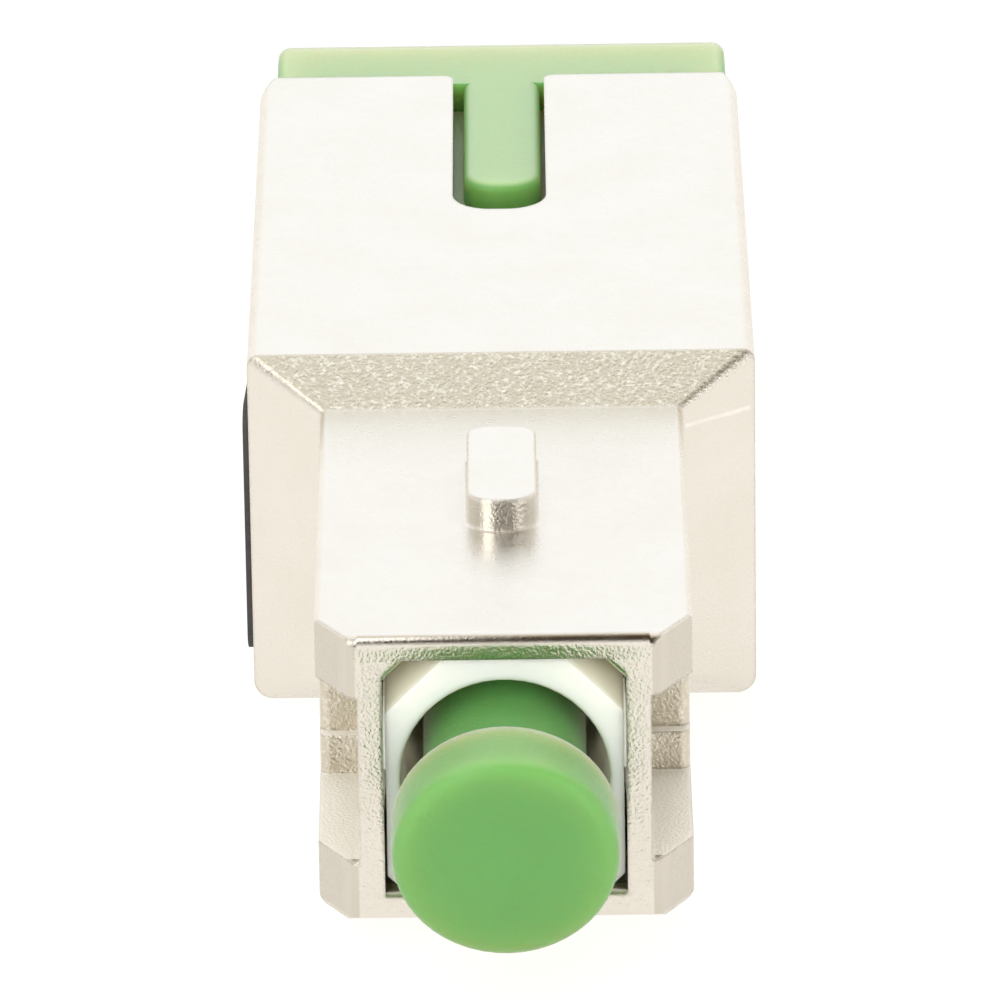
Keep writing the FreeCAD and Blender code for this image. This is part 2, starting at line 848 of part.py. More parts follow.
def make_sleeve_holder():
    """Moulded tube for the sleeve, with a base plate and two latch hooks."""
    holder = new_body("sleeve_holder")
    spigot = spring_bore_radius - size.press_gap
    tube = tube_inside + size.tube_wall
    lip_hole = ferrule_radius + size.tube_lip_clearance
    turn(
        holder,
        "tube",
        [
            (tube_inside, holder_front),
            (spigot, holder_front),
            (spigot, plate_front),
            (tube, plate_front),
            (tube, lip_start),
            (tube - size.tube_lip_length, tube_end),
            (lip_hole, tube_end),
            (lip_hole, lip_start),
            (tube_inside, lip_start),
        ],
    )
    plate = new_sketch(holder, "plate_outline", "XZ_Plane", plate_front)
    plate_width = socket_width - size.plate_clearance * 2
    plate_height = socket_height - size.plate_clearance * 2
    draw_centred_box(plate, plate_width, plate_height, size.plate_corner_radius)
    draw_circle(plate, tube_inside)
    pad(holder, "plate", plate, size.plate_thickness, flip=True)
    hooks = new_sketch(holder, "hook_outline", "XY_Plane")
    inner = nose_side + size.arm_clearance
    outer = plug_side - size.arm_sink
    tip = inner - size.hook_reach
    land_end = hook_face + size.hook_land
    hook_end = land_end + size.hook_ramp
    draw_both_sides(
        hooks,
        [
            (inner, plate_front),
            (outer, plate_front),
            (outer, hook_end),
            (inner, hook_end),
            (tip, land_end),
            (tip, hook_face),
            (inner, hook_face),
        ],
    )
    pad(holder, "latch_hooks", hooks, size.arm_width, both_ways=True)
    return holder


def make_front_dust_cap():
    """Moulded cap hanging on the ferrule: a blind stem and a flat round head, drawn about its pivot."""
    cap = new_body("front_dust_cap")
    bore = ferrule_radius + size.cap_clearance + size.cap_hang
    stem = bore + size.cap_wall
    head = size.cap_head_diameter / 2
    half_grip = size.cap_grip / 2
    head_back = front - size.cap_head_gap - cap_pivot
    head_front = head_back - size.cap_head_thickness
    bore_end = head_front + size.cap_face_thickness
    turn(
        cap,
        "stem_and_head",
        [
            (0, head_front),
            (head, head_front),
            (head, head_back),
            (stem, head_back),
            (stem, half_grip),
            (bore, half_grip),
            (bore, bore_end),
            (0, bore_end),
        ],
    )
    round_edges(cap, "head_edge", size.cap_edge_radius, lambda edge: lies_at(edge, "y", head_front))
    # the loose cap hangs down at its front until its bore meets the ferrule
    cap.Placement.Rotation.Axis = FreeCAD.Vector(1, 0, 0)
    cap.setExpression("Placement.Base.y", cap_pivot.words)
    cap.setExpression("Placement.Rotation.Angle", f"atan({size.cap_hang.words} / {half_grip.words})")
    return cap


def make_rear_dust_plug():
    """Moulded hollow plug in the socket, with a flange behind the housing and a key tab."""
    plug = new_body("rear_dust_plug")
    flange_front = rear + size.flange_gap
    flange_rear = flange_front + size.flange_thickness
    body_width = socket_width - size.dust_clearance * 2
    body_height = socket_height - size.dust_clearance * 2
    flange = new_sketch(plug, "flange_outline", "XZ_Plane", flange_front)
    draw_centred_box(flange, size.flange_width, size.flange_height, size.flange_corner_radius)
    pad(plug, "flange", flange, size.flange_thickness, flip=True)
    body_outline = new_sketch(plug, "body_outline", "XZ_Plane", flange_front)
    draw_centred_box(body_outline, body_width, body_height, size.dust_corner_radius)
    pad(plug, "body", body_outline, flange_front - dust_nose)
    tab = new_sketch(plug, "tab_outline", "XY_Plane")
    tab_side = keyway_side - size.tab_clearance
    draw_rounded_box(tab, -tab_side, dust_nose, tab_side, flange_front, size.tab_nose_radius)
    tab_top = size.flange_height / 2
    pad(plug, "tab", tab, tab_top)

    def on_tab_top(edge):
        ahead_of_flange = edge.CenterOfMass.y < flange_front.value
        return ahead_of_flange and lies_at(edge, "z", tab_top)

    round_edges(plug, "tab_edge", size.tab_edge_radius, on_tab_top)
    hollow = new_sketch(plug, "hollow_outline", "XZ_Plane", dust_nose)
    draw_centred_box(
        hollow,
        body_width - size.dust_wall * 2,
        body_height - size.dust_wall * 2,
        size.dust_corner_radius,
    )
    pocket(plug, "hollow", hollow, flange_rear - size.dust_floor - dust_nose)
    # the plug leans against the right side of the socket
    plug.setExpression("Placement.Base.x", size.dust_side_shift.words)
    return plug


pieces = [
    make_housing_shell(),
    make_side_label(),
    make_plug_frame(),
    make_ferrule(),
    make_attenuating_fibre(),
    make_ferrule_collar(),
    make_ferrule_spring(),
    make_stop_ring(),
    make_split_sleeve(),
    make_sleeve_holder(),
    make_front_dust_cap(),
    make_rear_dust_plug(),
]
doc.recompute()

for item in doc.Objects:
    if "Invalid" in item.State or "Error" in item.State:
        raise RuntimeError(f"{item.Label} could not be worked out: {item.State}")
for piece in pieces:
    if piece.Shape.isNull() or not piece.Shape.isValid() or len(piece.Shape.Solids) != 1:
        raise RuntimeError(f"{piece.Label} is not one sound solid")

os.makedirs("parts", exist_ok=True)
for piece in pieces:
    piece.Shape.exportStep(f"parts/{piece.Label}.step")
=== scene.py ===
import math

import bpy
from mathutils import Matrix, Vector


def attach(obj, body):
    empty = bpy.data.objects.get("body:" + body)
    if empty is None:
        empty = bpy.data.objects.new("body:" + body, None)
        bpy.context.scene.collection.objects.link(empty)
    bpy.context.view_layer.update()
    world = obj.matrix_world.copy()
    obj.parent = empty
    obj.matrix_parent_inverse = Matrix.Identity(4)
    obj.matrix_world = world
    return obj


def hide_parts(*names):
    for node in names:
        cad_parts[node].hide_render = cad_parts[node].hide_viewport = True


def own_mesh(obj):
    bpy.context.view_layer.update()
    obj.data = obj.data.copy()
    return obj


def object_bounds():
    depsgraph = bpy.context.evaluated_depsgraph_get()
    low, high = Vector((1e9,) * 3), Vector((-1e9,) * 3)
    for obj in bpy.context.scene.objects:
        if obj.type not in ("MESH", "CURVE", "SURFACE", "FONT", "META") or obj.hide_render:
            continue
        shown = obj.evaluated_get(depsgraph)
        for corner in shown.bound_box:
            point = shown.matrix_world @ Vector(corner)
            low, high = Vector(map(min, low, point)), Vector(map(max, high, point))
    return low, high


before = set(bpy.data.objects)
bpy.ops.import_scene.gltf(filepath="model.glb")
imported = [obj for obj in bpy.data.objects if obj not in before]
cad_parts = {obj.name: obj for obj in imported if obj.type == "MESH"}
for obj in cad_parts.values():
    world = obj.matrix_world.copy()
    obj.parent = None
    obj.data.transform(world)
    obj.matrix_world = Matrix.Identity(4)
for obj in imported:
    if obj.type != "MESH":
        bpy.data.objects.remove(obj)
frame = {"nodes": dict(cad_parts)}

# Fibre attenuator with an SC plug towards the camera (-Y) and an SC socket behind (+Y).
# Lengths are in metres. Texture scales are in features per metre.

cad_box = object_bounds()
MM = 0.001
FLOOR_LEVEL = cad_box[0][2]
SHOULDER_DEPTH = 1.3 * MM

# Places on the shell, each as two corners in millimetres, alike on both sides
LATCH_SLOT = ((3.45, -13.8, -2.2), (4.46, -8.3, 2.2))
LEAD_IN_TAPER = ((3.55, -14.1, -3.6), (4.48, -12.8, 3.6))
TOP_FRONT_EDGE = ((0, -14.2, 3.1), (3.45, -13.78, 3.75))
KEY = ((0, -12, 3.72), (0.9, -5, 4.6))
TOP_SLOPE = ((0, 0.05, 3.5), (6.3, 1.25, 4.7))
LIGHT_LINE = ((4.6, 0.05, 3.12), (6.2, 1.25, 3.17))
# half the width and height of the plug and of the block, in millimetres
PLUG_HALVES = {"X": 4.5, "Z": 3.7}
BLOCK_HALVES = {"X": 6.35, "Z": 4.7}

# Lamps: angles in degrees from the camera's side and from level, lengths in metres
LAMPS = {
    "left_softbox": dict(azimuth=-34, elevation=36, distance=0.45, width=0.31, height=0.36, radiance=2.4),
    "right_softbox": dict(azimuth=43, elevation=17, distance=0.45, width=0.32, height=0.20, radiance=1.0),
    "right_fill": dict(
        azimuth=43, elevation=15, distance=0.45, width=0.32, height=0.16, radiance=2.0, mirrored=False
    ),
    "back_softbox": dict(azimuth=180, elevation=36, distance=0.60, width=2.4, height=1.30, radiance=0.20),
    "top_softbox": dict(
        azimuth=180, elevation=72, distance=0.60, width=0.6, height=0.50, radiance=1.1, mirrored=False
    ),
    "front_softbox": dict(
        azimuth=0, elevation=20, distance=0.60, width=0.5, height=0.40, radiance=2.4, mirrored=False
    ),
}


# Nodes

def add_node(tree, kind, inputs=None, **settings):
    """A node with its settings, and a value or a link in each named input."""
    node = tree.nodes.new(kind)
    for name, value in settings.items():
        setattr(node, name, value)
    for socket, value in (inputs or {}).items():
        if isinstance(value, bpy.types.NodeSocket):
            tree.links.new(value, node.inputs[socket])
        else:
            node.inputs[socket].default_value = value
    return node


def noise(tree, scale, detail=2.0, roughness=0.5, stretch=(1, 1, 1)):
    """Noise from 0 to 1 that is fixed to the piece."""
    places = add_node(tree, "ShaderNodeTexCoord").outputs["Object"]
    if stretch != (1, 1, 1):
        places = add_node(tree, "ShaderNodeMapping", {"Vector": places, "Scale": stretch}).outputs["Vector"]
    texture = add_node(
        tree,
        "ShaderNodeTexNoise",
        {"Vector": places, "Scale": scale, "Detail": detail, "Roughness": roughness},
    )
    return texture.outputs["Fac"]


def spread(tree, value, low, high, from_low=0.3, from_high=0.7):
    """A value between from_low and from_high, spread over low to high."""
    ranged = add_node(
        tree,
        "ShaderNodeMapRange",
        {"Value": value, "From Min": from_low, "From Max": from_high, "To Min": low, "To Max": high},
    )
    return ranged.outputs["Result"]


def mix_colours(tree, factor, first, second):
    """The first colour where the factor is 0, the second where it is 1."""
    mix = tree.nodes.new("ShaderNodeMix")
    mix.data_type = "RGBA"
    tree.links.new(factor, mix.inputs["Factor"])
    for name, colour in (("A", first), ("B", second)):
        socket = next(item for item in mix.inputs if item.name == name and item.type == "RGBA")
        if isinstance(colour, bpy.types.NodeSocket):
            tree.links.new(colour, socket)
        else:
            socket.default_value = (*colour, 1)
    return next(item for item in mix.outputs if item.type == "RGBA")


def mix_normals(tree, factor, first, second):
    """The first normal where the factor is 0, the second where it is 1."""
    mix = tree.nodes.new("ShaderNodeMix")
    mix.data_type = "VECTOR"
    tree.links.new(factor, mix.inputs["Factor"])
    for name, normal in (("A", first), ("B", second)):
        socket = next(item for item in mix.inputs if item.name == name and item.type == "VECTOR")
        tree.links.new(normal, socket)
    return next(item for item in mix.outputs if item.type == "VECTOR")


def bump(tree, height, distance, normal=None):
    """A surface normal from a height between 0 and 1 times a distance."""
    inputs = {"Height": height, "Distance": distance}
    if normal is not None:
        inputs["Normal"] = normal
    return add_node(tree, "ShaderNodeBump", inputs).outputs["Normal"]


def rounded(tree, radius):
    """A surface normal that turns smoothly round the edges of the piece."""
    return add_node(tree, "ShaderNodeBevel", {"Radius": radius}, samples=4).outputs["Normal"]


def facing(tree, axis):
    """How far the surface faces along +X, +Y or +Z of the piece, from -1 to 1."""
    normal = add_node(tree, "ShaderNodeTexCoord").outputs["Normal"]
    return add_node(tree, "ShaderNodeSeparateXYZ", {"Vector": normal}).outputs[axis]


def place(tree, axis):
    """Where the surface is along X, Y or Z of the piece."""
    places = add_node(tree, "ShaderNodeTexCoord").outputs["Object"]
    return add_node(tree, "ShaderNodeSeparateXYZ", {"Vector": places}).outputs[axis]


def in_hollow(tree):
    """1 on walls that face the fibre's axis, 0 on the outside and on the ends."""
    outward = None
    for axis in "XZ":
        share = times(tree, place(tree, axis), facing(tree, axis))
        outward = share if outward is None else plus(tree, outward, share)
    return spread(tree, outward, 1, 0, -0.6 * MM, -0.3 * MM)


def inside(tree, low, high):
    """1 between two corners in millimetres, the same on both sides of the piece, and 0 outside."""
    soft = 0.05
    total = None
    for axis, start, end in zip("XYZ", low, high):
        along = place(tree, axis)
        if axis == "X":
            along = absolute(tree, along)
        rise = spread(tree, along, 0, 1, (start - soft) * MM, start * MM)
        fall = spread(tree, along, 1, 0, end * MM, (end + soft) * MM)
        both = times(tree, rise, fall)
        total = both if total is None else times(tree, total, both)
    return total


def times(tree, first, second):
    return add_node(tree, "ShaderNodeMath", {0: first, 1: second}, operation="MULTIPLY").outputs["Value"]


def plus(tree, first, second):
    return add_node(tree, "ShaderNodeMath", {0: first, 1: second}, operation="ADD").outputs["Value"]


def higher(tree, first, second):
    return add_node(tree, "ShaderNodeMath", {0: first, 1: second}, operation="MAXIMUM").outputs["Value"]


def absolute(tree, value):
    return add_node(tree, "ShaderNodeMath", {0: value}, operation="ABSOLUTE").outputs["Value"]


def other(tree, mask):
    """0 where a mask is 1, and 1 where it is 0."""
    return spread(tree, mask, 1, 0, 0, 1)


def new_material(name, **inputs):
    """A Principled material with plain values in the named inputs."""
    material = bpy.data.materials.new(name)
    material.use_nodes = True
    surface = material.node_tree.nodes["Principled BSDF"]
    for socket, value in inputs.items():
        surface.inputs[socket.replace("_", " ")].default_value = value
    return material, material.node_tree, surface


def connect(tree, surface, **sources):
    for socket, source in sources.items():
        tree.links.new(source, surface.inputs[socket.replace("_", " ")])


# Materials

def near_mitre(tree):
    """1 along the shoulder's four sloping corners, 0 further from them."""
    along = place(tree, "Y")
    gap = None
    for axis in "XZ":
        corner = spread(tree, along, PLUG_HALVES[axis] * MM, BLOCK_HALVES[axis] * MM, 0, SHOULDER_DEPTH)
        side = absolute(tree, place(tree, axis))
        apart = absolute(tree, plus(tree, side, times(tree, corner, -1)))
        gap = apart if gap is None else plus(tree, gap, apart)
    on_shoulder = spread(tree, along, 1, 0, SHOULDER_DEPTH, SHOULDER_DEPTH + 0.1 * MM)
    return times(tree, spread(tree, gap, 1, 0, 0.15 * MM, 0.35 * MM), on_shoulder)


def make_nickel():
    """Satin nickel plate on a casting: warm and grained, rougher on the slot ledges, with painted shade on
    the slot walls, lead-in tapers and top slope, painted light on the slot ledges, painted glints on the
    slope and slot walls, and a paler painted tone on flat tops.
    """
    material, tree, surface = new_material("satin_nickel")
    upward = spread(tree, facing(tree, "Z"), 0, 1, 0.90, 0.99)
    aside = other(tree, upward)
    forward = spread(tree, facing(tree, "Y"), 1, 0, -0.995, -0.95)
    at_front = spread(tree, place(tree, "Y"), 1, 0, -13.9 * MM, -13.6 * MM)
    on_rim = times(tree, forward, at_front)
    on_front_edge = times(tree, at_front, other(tree, forward))
    in_slot = inside(tree, *LATCH_SLOT)
    on_ledge = times(tree, in_slot, upward)
    slot_wall = times(tree, in_slot, aside)
    flat_top = times(tree, upward, other(tree, in_slot))
    on_taper = times(tree, inside(tree, *LEAD_IN_TAPER), aside)
    sloping = spread(tree, facing(tree, "Z"), 0, 1, 0.45, 0.60)
    on_slope = times(tree, inside(tree, *TOP_SLOPE), sloping)
    on_key = inside(tree, *KEY)

    cloud = spread(tree, noise(tree, 420, detail=3), 0, 1)
    warm = mix_colours(tree, cloud, (0.777, 0.727, 0.645), (0.807, 0.757, 0.680))
    pale = mix_colours(tree, cloud, (0.780, 0.765, 0.715), (0.805, 0.790, 0.745))
    # Flat tops take the paler, more neutral tone: painted light standing in for the bright reflection from
    # above.
    colour = mix_colours(tree, flat_top, warm, pale)
    # Slot walls painted darker: painted shade in the slots.
    colour = mix_colours(tree, times(tree, slot_wall, 0.85), colour, (0.60, 0.54, 0.43))
    # Slot ledges painted near white, with less metal set on them below: painted light where a lamp catches
    # them.
    colour = mix_colours(tree, on_ledge, colour, (0.94, 0.90, 0.81))
    # Lead-in tapers painted darker: painted shade standing in for a darker reflection.
    colour = mix_colours(tree, on_taper, colour, (0.63, 0.58, 0.50))
    # The shoulder's top slope painted darker and warmer: painted shade standing in for a darker reflection.
    colour = mix_colours(tree, on_slope, colour, (0.72, 0.68, 0.565))
    # Near-white dots on the slope and, fainter, on the slot walls: painted glints of the grain.
    painted_glint = spread(tree, noise(tree, 8000, detail=4, roughness=0.7), 0, 1, 0.50, 0.64)
    painted_glint_area = plus(tree, on_slope, times(tree, slot_wall, 0.35))
    colour = mix_colours(tree, times(tree, painted_glint, painted_glint_area), colour, (1.0, 0.98, 0.88))
    # A thin lighter line along the right side band.
    right = spread(tree, place(tree, "X"), 0, 1, -0.5 * MM, 0.5 * MM)
    light_line = times(tree, inside(tree, *LIGHT_LINE), times(tree, right, noise(tree, 3000)))
    colour = mix_colours(tree, light_line, colour, (0.98, 0.96, 0.90))

    depth = spread(tree, flat_top, 1, 0.4, 0, 1)
    left_corner = times(tree, near_mitre(tree), other(tree, right))
    for area, share in ((on_front_edge, 0.15), (left_corner, 0.12), (on_key, 0.6), (on_slope, 0.7)):
        depth = times(tree, depth, spread(tree, area, 1, share, 0, 1))
    grain = noise(tree, 12500, detail=1.5)
    wrinkle = noise(tree, 9500, detail=1)
    normal = bump(tree, grain, times(tree, depth, 0.024 * MM), rounded(tree, 0.14 * MM))
    normal = bump(tree, wrinkle, times(tree, on_rim, 0.006 * MM), normal)
    round_front = plus(tree, place(tree, "Z"), place(tree, "Y"))
    rolled = bump(tree, spread(tree, round_front, 0, 1, -11.0 * MM, -10.1 * MM), 0.18 * MM, normal)
    on_top_edge = inside(tree, *TOP_FRONT_EDGE)
    normal = mix_normals(tree, on_top_edge, normal, rolled)
    polish = spread(tree, noise(tree, 2600), 0.26, 0.34)
    duller = plus(tree, times(tree, on_ledge, 0.25), times(tree, on_front_edge, -0.14))
    connect(
        tree,
        surface,
        Base_Color=colour,
        Metallic=spread(tree, on_ledge, 1, 0.35, 0, 1),
        Roughness=plus(tree, polish, duller),
        Normal=normal,
    )
    return material


def make_green_plastic(name, painted_sheen_on_top, painted_sheen_end, edge):
    """Soft green moulding, a little translucent, with a satin skin; upward faces are painted paler up to an
    end along Y, a painted sheen of the light from above.
    """
    material, tree, surface = new_material(
        name,
        IOR=1.52,
        Subsurface_Radius=(2.2, 1.0, 0.9),
        Subsurface_Scale=2.4 * MM,
        Sheen_Weight=0.12,
        Sheen_Roughness=0.45,
        Coat_Weight=0.2,
        Coat_Roughness=0.35,
    )
    cloud = noise(tree, 350, detail=3)
    speck = noise(tree, 8500, detail=2)
    colour = mix_colours(tree, spread(tree, cloud, 0, 1), (0.114, 0.330, 0.072), (0.126, 0.352, 0.080))
    # Upward faces painted paler up to the end along Y: a painted sheen of the light from above.
    upward = spread(tree, facing(tree, "Z"), 0, painted_sheen_on_top, 0.6, 0.95)
    before_end = spread(tree, place(tree, "Y"), 1, 0, painted_sheen_end - 0.2 * MM, painted_sheen_end)
    colour = mix_colours(tree, times(tree, upward, before_end), colour, (0.405, 0.56, 0.28))
    connect(
        tree,
        surface,
        Base_Color=colour,
        Subsurface_Weight=spread(tree, in_hollow(tree), 0.9, 0.1, 0, 1),
        Roughness=spread(tree, speck, 0.38, 0.50),
        Normal=bump(tree, speck, 0.010 * MM, rounded(tree, edge)),
    )
    return material


def make_ivory_plastic():
    """Ivory moulding, slightly translucent, with faint flow clouds, painted shade on the corner bevels and a
    painted warm glow in the bore.
    """
    material, tree, surface = new_material(
        "ivory_moulding",
        IOR=1.5,
        Subsurface_Weight=0.65,
        Subsurface_Radius=(1.0, 0.92, 0.70),
    )
    cloud = noise(tree, 500, detail=3)
    skin = noise(tree, 4200, detail=2)
    colour = mix_colours(tree, spread(tree, cloud, 0, 1), (0.88, 0.86, 0.74), (0.91, 0.89, 0.78))
    # Corner bevels painted darker brown towards the corners: painted shade where the metal rim shades them.
    on_bevel = times(
        tree,
        spread(tree, facing(tree, "Z"), 0, 1, 0.2, 0.3),
        times(
            tree,
            spread(tree, facing(tree, "Y"), 0, 1, -0.9, -0.8),
            spread(tree, facing(tree, "Y"), 1, 0, -0.4, -0.3),
        ),
    )
    towards_corner = plus(tree, absolute(tree, place(tree, "X")), place(tree, "Z"))
    shade = times(tree, on_bevel, spread(tree, towards_corner, 0.45, 0.95, 4.5 * MM, 5.4 * MM))
    colour = mix_colours(tree, shade, colour, (0.40, 0.36, 0.22))
    in_bore = in_hollow(tree)
    # Bore walls painted a warmer yellow: a painted warm glow standing in for light that comes through the
    # plastic.
    colour = mix_colours(tree, times(tree, in_bore, 0.7), colour, (0.92, 0.83, 0.52))
    connect(
        tree,
        surface,
        Base_Color=colour,
        Subsurface_Scale=spread(tree, in_bore, 1.5 * MM, 5 * MM, 0, 1),
        Roughness=spread(tree, skin, 0.34, 0.48),
        Normal=bump(tree, skin, 0.003 * MM, rounded(tree, 0.22 * MM)),
    )
    return material


def make_label_film():
    """Matt black film with a faint leathery skin."""
    material, tree, surface = new_material("black_film", IOR=1.45)
    skin = noise(tree, 3800, detail=3)
    colour = mix_colours(tree, spread(tree, skin, 0, 1), (0.040, 0.039, 0.038), (0.060, 0.058, 0.056))
    connect(
        tree,
        surface,
        Base_Color=colour,
        Roughness=spread(tree, skin, 0.55, 0.7),
        Normal=bump(tree, skin, 0.004 * MM),
    )
    return material


def make_zirconia():
    """Polished white ceramic."""
    material, tree, surface = new_material(
        "white_ceramic",
        IOR=2.1,
        Subsurface_Weight=0.3,
        Subsurface_Radius=(1.0, 0.95, 0.85),
        Subsurface_Scale=0.4 * MM,
    )
    cloud = noise(tree, 700, detail=3)
    colour = mix_colours(tree, spread(tree, cloud, 0, 1), (0.86, 0.85, 0.81), (0.90, 0.89, 0.86))
    lap = noise(tree, 9000, detail=2, stretch=(1, 0.2, 1))
    connect(
        tree,
        surface,
        Base_Color=colour,
        Roughness=spread(tree, lap, 0.14, 0.24),
        Normal=bump(tree, lap, 0.001 * MM),
    )
    return material


def make_turned_metal(name, dark, light, rings):
    """Plated metal with the fine rings that turning leaves round it."""
    material, tree, surface = new_material(name, Metallic=1.0)
    cloud = noise(tree, 900, detail=3)
    ring = noise(tree, rings, detail=2, stretch=(0.05, 1, 0.05))
    connect(
        tree,
        surface,
        Base_Color=mix_colours(tree, spread(tree, cloud, 0, 1), dark, light),
        Roughness=spread(tree, ring, 0.22, 0.36),
        Normal=bump(tree, ring, 0.003 * MM),
    )
    return material


def make_fibre_glass():
    """Clear drawn glass with faint draw lines."""
    material, tree, surface = new_material("drawn_glass", IOR=1.46, Transmission_Weight=0.9)
    lines = noise(tree, 30000, detail=1, stretch=(1, 0.02, 1))
    connect(
        tree,
        surface,
        Base_Color=mix_colours(tree, lines, (0.86, 0.90, 0.93), (0.93, 0.95, 0.97)),
        Roughness=spread(tree, lines, 0.02, 0.08),
    )
    return material


# Shading of the frame's pieces

def make_join_group(name, finish):
    """Geometry nodes that drop stored normals, or shade the whole piece smooth."""
    group = bpy.data.node_groups.new(name, "GeometryNodeTree")
    group.interface.new_socket("Geometry", in_out="INPUT", socket_type="NodeSocketGeometry")
    group.interface.new_socket("Geometry", in_out="OUTPUT", socket_type="NodeSocketGeometry")
    start = group.nodes.new("NodeGroupInput")
    end = group.nodes.new("NodeGroupOutput")
    geometry = start.outputs["Geometry"]
    if finish:
        smooth = add_node(group, "GeometryNodeSetShadeSmooth", {"Geometry": geometry, "Shade Smooth": True})
        geometry = smooth.outputs["Geometry"]
    else:
        for stored in ("custom_normal", "sharp_edge", "sharp_face"):
            remove = add_node(group, "GeometryNodeRemoveAttribute", {"Geometry": geometry, "Name": stored})
            geometry = remove.outputs["Geometry"]
    group.links.new(geometry, end.inputs["Geometry"])
    return group


def round_edges(piece, width):
    """Small edge radii, with smooth shading across them and flat faces between them."""
    piece.modifiers.new("plain_normals", "NODES").node_group = plain_normals
    piece.modifiers.new("join_faces", "WELD").merge_threshold = 0.0005 * MM
    flat = piece.modifiers.new("whole_faces", "DECIMATE")
    flat.decimate_type = "DISSOLVE"
    flat.angle_limit = math.radians(0.5)
    bevel = piece.modifiers.new("edge_radius", "BEVEL")
    bevel.width = width
    bevel.segments = 3
    bevel.limit_method = "ANGLE"
    bevel.angle_limit = math.radians(25)
    bevel.use_clamp_overlap = True
    piece.modifiers.new("smooth", "NODES").node_group = smooth_shading
    weighted = piece.modifiers.new("weighted_normals", "WEIGHTED_NORMAL")
    weighted.weight = 100
    weighted.keep_sharp = False


plain_normals = make_join_group("plain_normals", finish=False)
smooth_shading = make_join_group("smooth_shading", finish=True)

nickel = make_nickel()
green = make_green_plastic("green_moulding", 0.18, -15 * MM, 0.4 * MM)
green_with_painted_sheen = make_green_plastic("green_moulding_painted_top_sheen", 0.85, cad_box[1][1], 0.1 * MM)
ivory = make_ivory_plastic()
ceramic = make_zirconia()
collar_metal = make_turned_metal("plated_brass", (0.74, 0.70, 0.61), (0.79, 0.75, 0.67), 9000)
spring_steel = make_turned_metal("spring_steel", (0.55, 0.55, 0.55), (0.62, 0.62, 0.61), 14000)


# Spring

def make_spring():
    """The coil spring between the collar and its stop, as its own copy of the CAD piece, moved with the
    inner body.
    """
    spring = bpy.data.objects.new("coil_spring", frame["nodes"]["ferrule_spring"].data.copy())
    bpy.context.scene.collection.objects.link(spring)
    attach(spring, "inner")
    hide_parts("ferrule_spring")
    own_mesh(spring)
    return spring


pieces = {**frame["nodes"], "ferrule_spring": make_spring()}
looks = {
    "housing_shell": (nickel, 0.12),
    "side_label": (make_label_film(), 0.02),
    "plug_frame": (ivory, 0.06),
    "ferrule": (ceramic, 0.02),
    "ferrule_collar": (collar_metal, 0.06),
    "attenuating_fibre": (make_fibre_glass(), 0.005),
    "ferrule_spring": (spring_steel, 0.05),
    "stop_ring": (collar_metal, 0.05),
    "split_sleeve": (ceramic, 0.03),
    "sleeve_holder": (ivory, 0.06),
    "front_dust_cap": (green, 0.06),
    "rear_dust_plug": (green_with_painted_sheen, 0.08),
}
for node, (material, edge_radius) in looks.items():
    piece = pieces[node]
    piece.data.materials.clear()
    piece.data.materials.append(material)
    round_edges(piece, edge_radius * MM)


# Floor, background and lights

def ray_is(tree, *kinds):
    """1 for rays of the named kinds, 0 for others."""
    rays = add_node(tree, "ShaderNodeLightPath")
    total = rays.outputs[kinds[0]]
    for kind in kinds[1:]:
        total = higher(tree, total, rays.outputs[kind])
    return total


def make_plane(name, corners):
    mesh = bpy.data.meshes.new(name)
    mesh.from_pydata(corners, [], [tuple(range(len(corners)))])
    plane = bpy.data.objects.new(name, mesh)
    bpy.context.scene.collection.objects.link(plane)
    return plane


def make_floor():
    """Pale floor: white to the eye, with a faint shadow of the object."""
    reach = 3.0
    corners = [(-reach, -reach), (reach, -reach), (reach, reach), (-reach, reach)]
    floor = make_plane("floor", [(x, y, FLOOR_LEVEL) for x, y in corners])
    material, tree, surface = new_material("pale_floor", Roughness=0.9, Specular_IOR_Level=0.0)
    surface.inputs["Emission Color"].default_value = (1.0, 0.985, 0.95, 1)
    seen = ray_is(tree, "Is Camera Ray", "Is Glossy Ray", "Is Transmission Ray")
    connect(
        tree,
        surface,
        Base_Color=mix_colours(tree, seen, (0.65, 0.65, 0.65), (0.22, 0.22, 0.22)),
        Emission_Strength=times(tree, seen, 0.87),
    )
    floor.data.materials.append(material)


def make_world():
    """Even soft light, and a white background to the eye and in reflections."""
    world = bpy.data.worlds.new("white_room")
    world.use_nodes = True
    tree = world.node_tree
    background = tree.nodes["Background"]
    background.inputs["Color"].default_value = (1, 1, 1, 1)
    seen = ray_is(tree, "Is Camera Ray", "Is Glossy Ray", "Is Transmission Ray")
    tree.links.new(spread(tree, seen, 0.55, 1.0, 0, 1), background.inputs["Strength"])
    bpy.context.scene.world = world


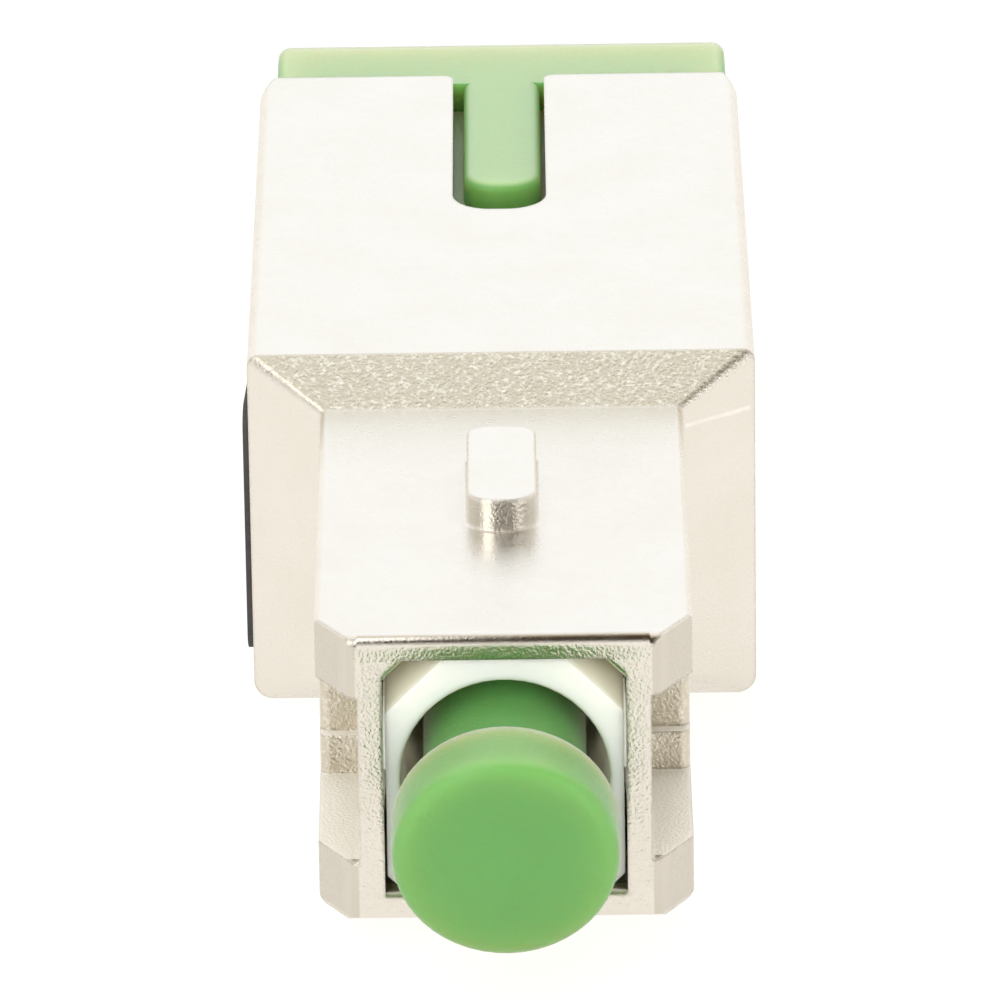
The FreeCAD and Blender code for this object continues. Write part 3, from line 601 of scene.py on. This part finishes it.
def make_dark_card():
    """Screen round the front, seen only in reflections: dark ahead and above, pale low down at the sides."""
    radius = 0.6
    lowest, highest, side = 3, 71, 135
    columns, rows = 32, 10
    corners = []
    faces = []
    for row in range(rows + 1):
        elevation = math.radians(lowest + (highest - lowest) * row / rows)
        for column in range(columns + 1):
            azimuth = math.radians(-side + 2 * side * column / columns)
            corners.append(
                (
                    radius * math.cos(elevation) * math.sin(azimuth),
                    -radius * math.cos(elevation) * math.cos(azimuth),
                    radius * math.sin(elevation),
                )
            )
    for row in range(rows):
        for column in range(columns):
            first = row * (columns + 1) + column
            faces.append((first, first + 1, first + columns + 2, first + columns + 1))
    mesh = bpy.data.meshes.new("dark_card")
    mesh.from_pydata(corners, [], faces)
    card = bpy.data.objects.new("dark_card", mesh)
    bpy.context.scene.collection.objects.link(card)
    material, tree, surface = new_material("dark_card", Roughness=1.0, Specular_IOR_Level=0.0)
    surface.inputs["Base Color"].default_value = (0, 0, 0, 1)
    height = place(tree, "Z")
    aside = spread(tree, absolute(tree, place(tree, "X")), 0, 1, 0.32 * radius, 0.44 * radius)
    low_aside = times(tree, aside, spread(tree, height, 1, 0, 0.30 * radius, 0.36 * radius))
    far_round = spread(tree, place(tree, "Y"), 0, 1, -0.30 * radius, -0.15 * radius)
    pale = higher(tree, low_aside, far_round)
    dark = spread(tree, height, 0.06, 0.70, 0.80 * radius, 0.95 * radius)
    connect(
        tree,
        surface,
        Emission_Color=mix_colours(tree, pale, (1.0, 0.80, 0.52), (1.0, 0.98, 0.94)),
        Emission_Strength=plus(tree, times(tree, dark, other(tree, pale)), times(tree, pale, 0.9)),
    )
    mesh.materials.append(material)
    card.visible_camera = False
    card.visible_diffuse = False
    card.visible_transmission = False
    card.visible_shadow = False


def make_softbox(name, azimuth, elevation, distance, width, height, radiance, mirrored=True):
    """A rectangular lamp aimed at the object. Azimuth is counted from the camera's side, + to the right."""
    turn, rise = math.radians(azimuth), math.radians(elevation)
    direction = Vector(
        (math.cos(rise) * math.sin(turn), -math.cos(rise) * math.cos(turn), math.sin(rise))
    )
    lamp = bpy.data.lights.new(name, "AREA")
    lamp.shape = "RECTANGLE"
    lamp.size = width
    lamp.size_y = height
    lamp.energy = radiance * math.pi * width * height
    softbox = bpy.data.objects.new(name, lamp)
    softbox.location = direction * distance
    softbox.rotation_euler = direction.to_track_quat("Z", "Y").to_euler()
    softbox.visible_camera = False
    softbox.visible_glossy = mirrored
    bpy.context.scene.collection.objects.link(softbox)


make_floor()
make_world()
make_dark_card()
for lamp_name, setting in LAMPS.items():
    make_softbox(lamp_name, **setting)


# Camera

def make_camera():
    """The photograph's view: nearly level with the key, from a long way off."""
    elevation, roll, yaw = math.radians(23.08), math.radians(0.82), math.radians(0.15)
    ahead = Vector((0, math.cos(elevation), -math.sin(elevation)))
    level = Vector((1, 0, 0))
    upright = Vector((0, math.sin(elevation), math.cos(elevation)))
    right = math.cos(roll) * level - math.sin(roll) * upright
    up = math.sin(roll) * level + math.cos(roll) * upright
    axes = Matrix((right, up, -ahead)).transposed().to_4x4()
    position = Matrix.Translation((-0.064 * MM, -238.36 * MM, 102.80 * MM))
    data = bpy.data.cameras.new("camera")
    data.lens = 373.3
    data.sensor_width = 36.0
    camera = bpy.data.objects.new("camera", data)
    camera.matrix_world = Matrix.Rotation(yaw, 4, "Z") @ position @ axes
    bpy.context.scene.collection.objects.link(camera)
    bpy.context.scene.camera = camera


make_camera()
bpy.context.scene.view_settings.view_transform = "Standard"
